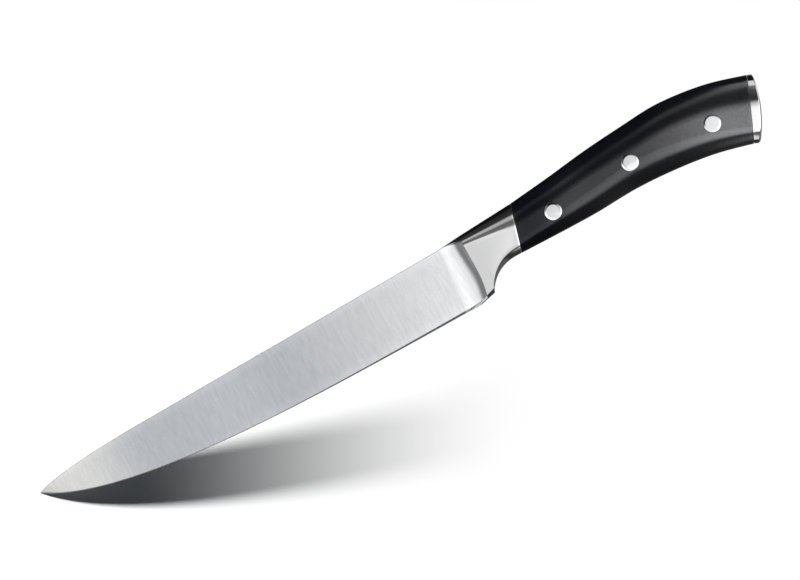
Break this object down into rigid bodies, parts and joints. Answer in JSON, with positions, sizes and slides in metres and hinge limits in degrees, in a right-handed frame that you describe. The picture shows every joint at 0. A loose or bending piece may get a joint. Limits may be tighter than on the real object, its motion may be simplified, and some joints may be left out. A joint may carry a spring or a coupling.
{
  "type": "kitchen knife",
  "caption": "Forged kitchen slicing knife: long narrow blade with full bolster and full tang, black riveted grip scales and a steel butt cap.",
  "frame": {"origin": "half-way along the knife's length, in the plane of the blade, level with the lowest point of the cutting edge", "axes": "+X from the tip to the butt, +Y to the right-hand side of someone holding it, +Z from the cutting edge to the spine"},
  "size_m": [0.34, 0.0194, 0.0387],
  "materials": {
    "blade_steel": "stainless steel, satin ground across the blade, finer satin on the bolster",
    "grip_plastic": "black acetal plastic, satin sanded",
    "polished_steel": "stainless steel, polished"
  },
  "bodies": {
    "root": {"forged_blade": "blade_steel", "left_scale": "grip_plastic", "right_scale": "grip_plastic", "butt_cap": "polished_steel", "rivet_front_stud": "polished_steel", "rivet_front_sleeve": "polished_steel", "rivet_middle_stud": "polished_steel", "rivet_middle_sleeve": "polished_steel", "rivet_rear_stud": "polished_steel", "rivet_rear_sleeve": "polished_steel"}
  },
  "joints": []
}
